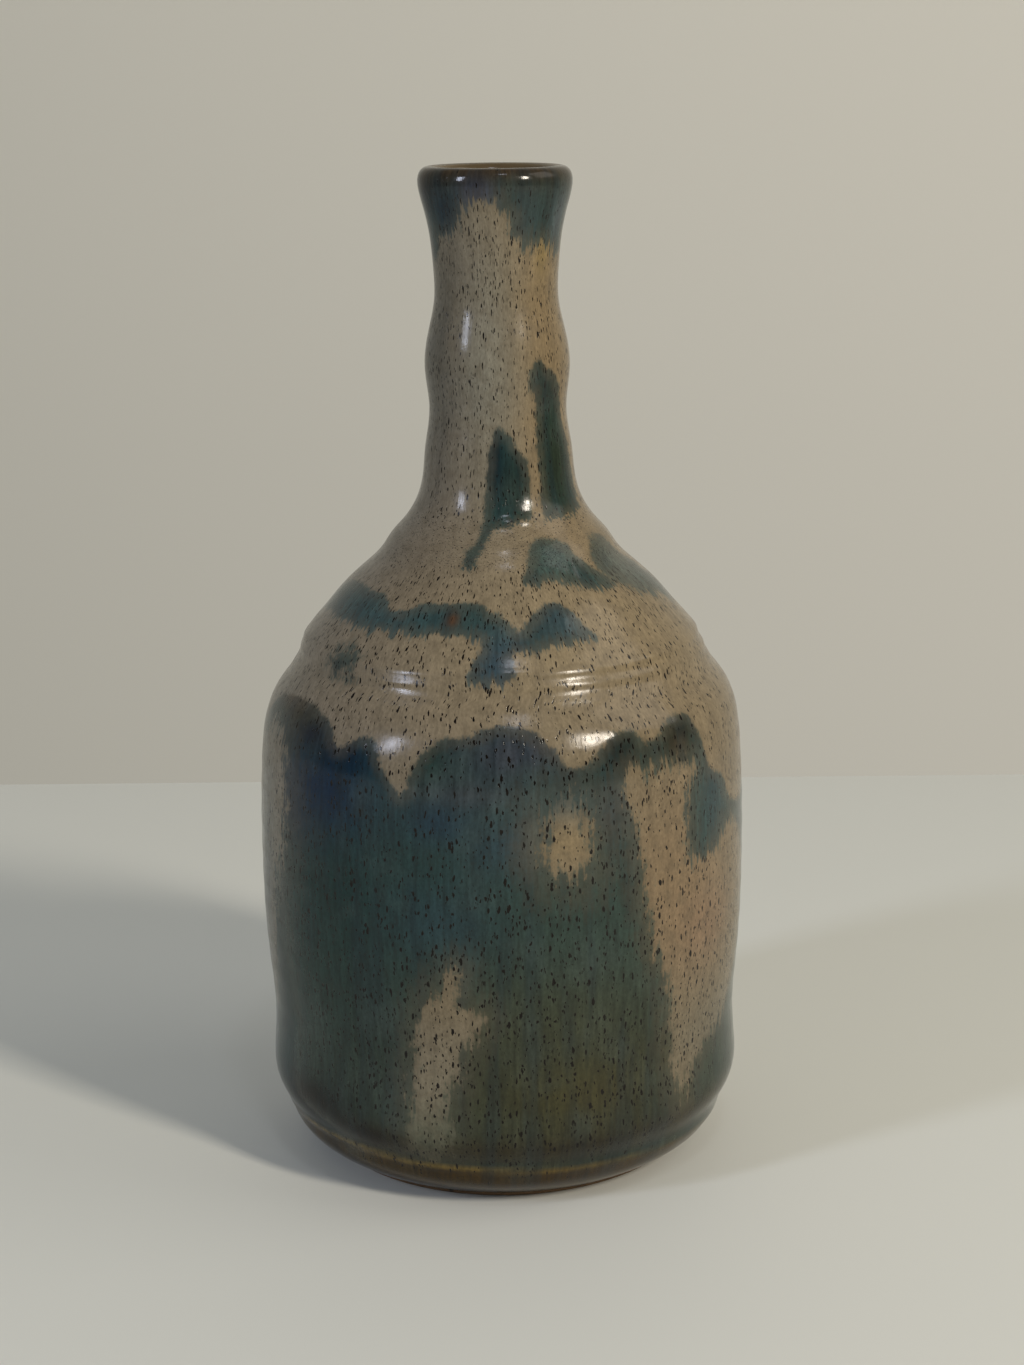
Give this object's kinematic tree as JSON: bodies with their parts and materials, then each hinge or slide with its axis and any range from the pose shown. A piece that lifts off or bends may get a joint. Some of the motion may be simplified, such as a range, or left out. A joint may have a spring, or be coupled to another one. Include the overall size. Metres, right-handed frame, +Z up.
{
  "type": "bud vase",
  "caption": "Tall narrow-necked stoneware bud vase with a stepped shoulder, ringed neck, flared lip and turned foot, under a runny two-tone glaze.",
  "frame": {"origin": "centre of the foot's resting face, on the surface that the vase stands on", "axes": "+Z up along the vase's axis, from the foot to the mouth; the vase is round, so X and Y are free, and the pictured side faces -Y"},
  "size_m": [0.0916, 0.0916, 0.185],
  "materials": {
    "stoneware": "matte",
    "slip": "matte",
    "outer_glaze": "gloss",
    "liner_glaze": "gloss"
  },
  "bodies": {
    "root": {"base_section": "stoneware", "shoulder_slip_joint": "slip", "shoulder_section": "stoneware", "neck_slip_joint": "slip", "neck_section": "stoneware", "outer_glaze": "outer_glaze", "liner_glaze": "liner_glaze"}
  },
  "joints": []
}
